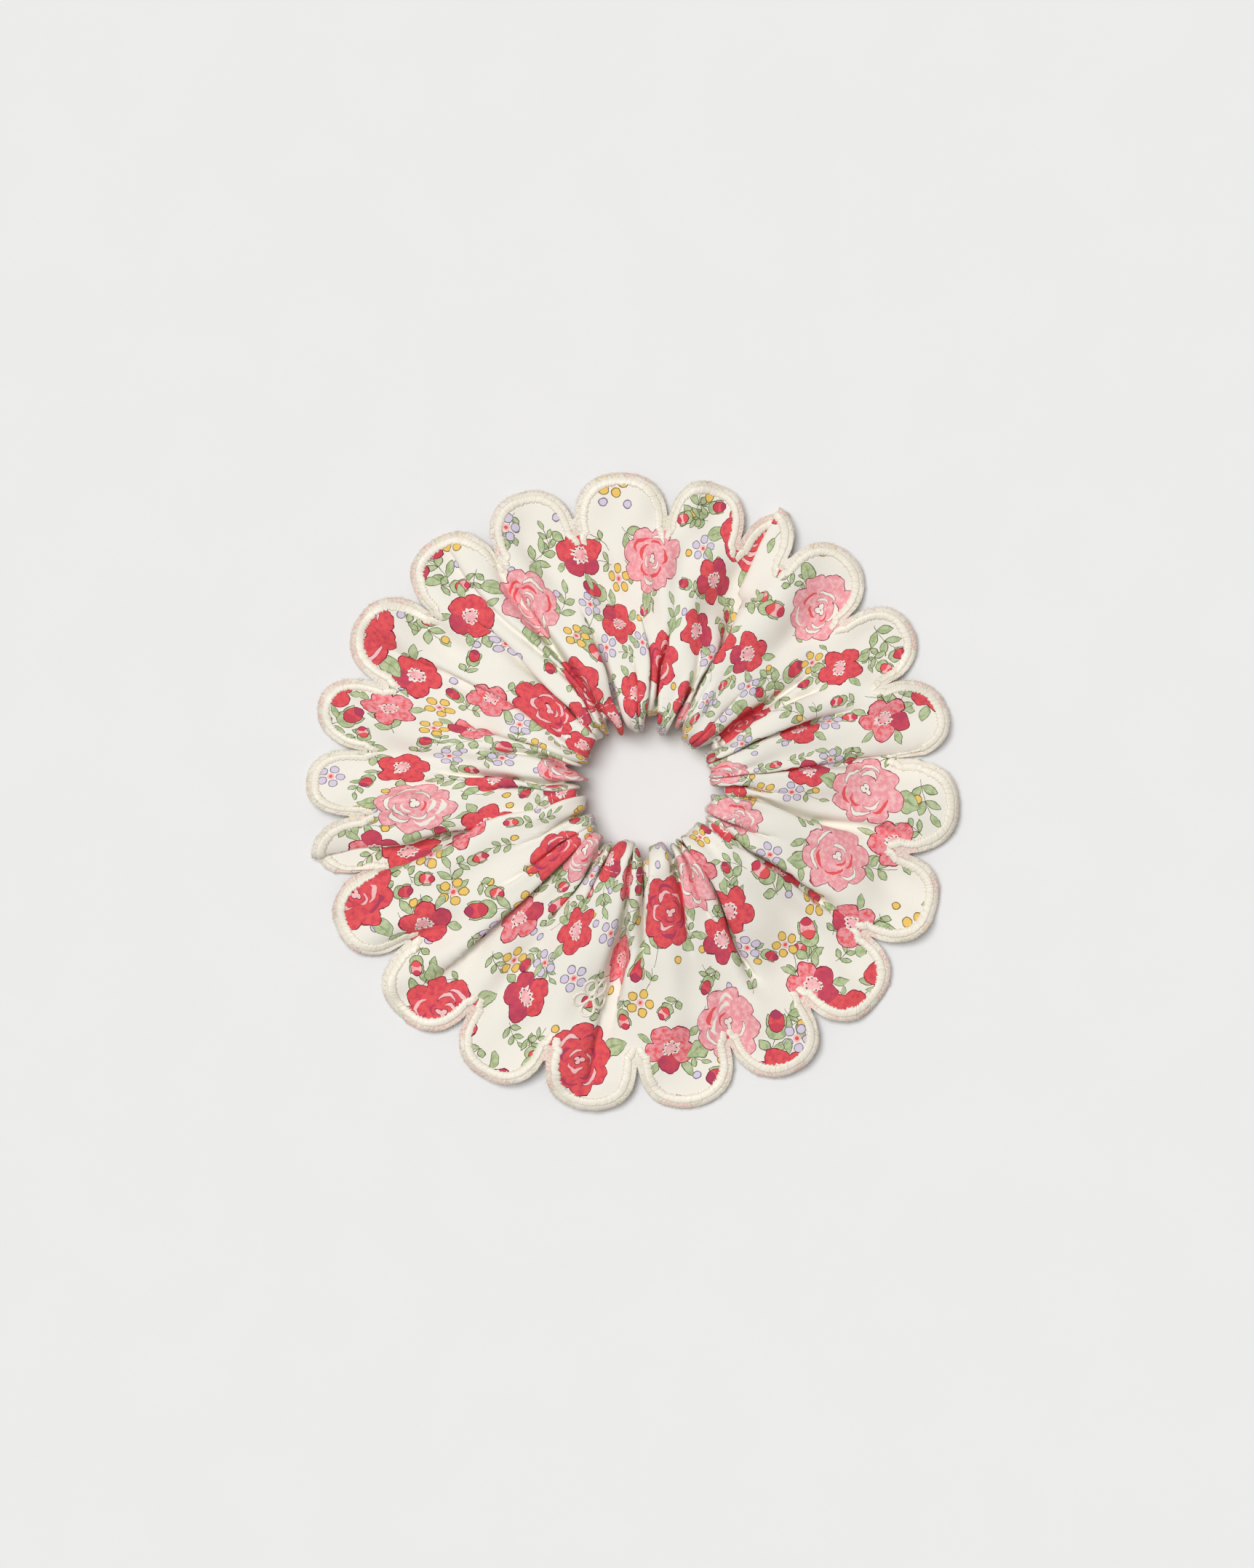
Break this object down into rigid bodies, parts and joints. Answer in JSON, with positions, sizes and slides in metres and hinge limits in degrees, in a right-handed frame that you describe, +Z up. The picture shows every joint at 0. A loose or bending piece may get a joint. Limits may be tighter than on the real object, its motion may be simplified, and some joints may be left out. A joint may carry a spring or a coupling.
{
  "type": "scalloped scrunchie",
  "caption": "Wide scalloped scrunchie: printed cotton ruffle with satin-stitched edges, gathered round its hole by a hidden elastic; the ring stretches open sideways.",
  "frame": {"origin": "middle of the ruffle, on the surface it lies on; the hole's axis is 3.6 mm to the right and 0.4 mm behind it", "axes": "+Z up along the hole's axis, out of the front of the ruffle; +X to the right and +Y to the back, as seen from above; the ring stretches along +X"},
  "size_m": [0.1615, 0.1608, 0.0159],
  "materials": {
    "printed_cotton": "matt printed plain weave",
    "satin_thread": "glossy rayon thread",
    "sewing_thread": "matt polyester thread",
    "elastic": "braided white elastic"
  },
  "bodies": {
    "left_half": {"ruffle_left": "printed_cotton", "satin_top_left": "satin_thread", "satin_under_left": "satin_thread", "elastic_left": "elastic", "needle_thread_left": "sewing_thread", "bobbin_thread_left": "sewing_thread", "lap_stitches": "sewing_thread", "side_seam": "sewing_thread", "embroidered_blossom": "satin_thread"},
    "right_half": {"ruffle_right": "printed_cotton", "satin_top_right": "satin_thread", "satin_under_right": "satin_thread", "elastic_right": "elastic", "needle_thread_right": "sewing_thread", "bobbin_thread_right": "sewing_thread"}
  },
  "joints": [
    {"name": "stretch", "type": "slide", "parent": "left_half", "child": "right_half", "axis": [1, 0, 0], "range_m": [0, 0.04], "stiffness_N_per_m": 100}
  ]
}
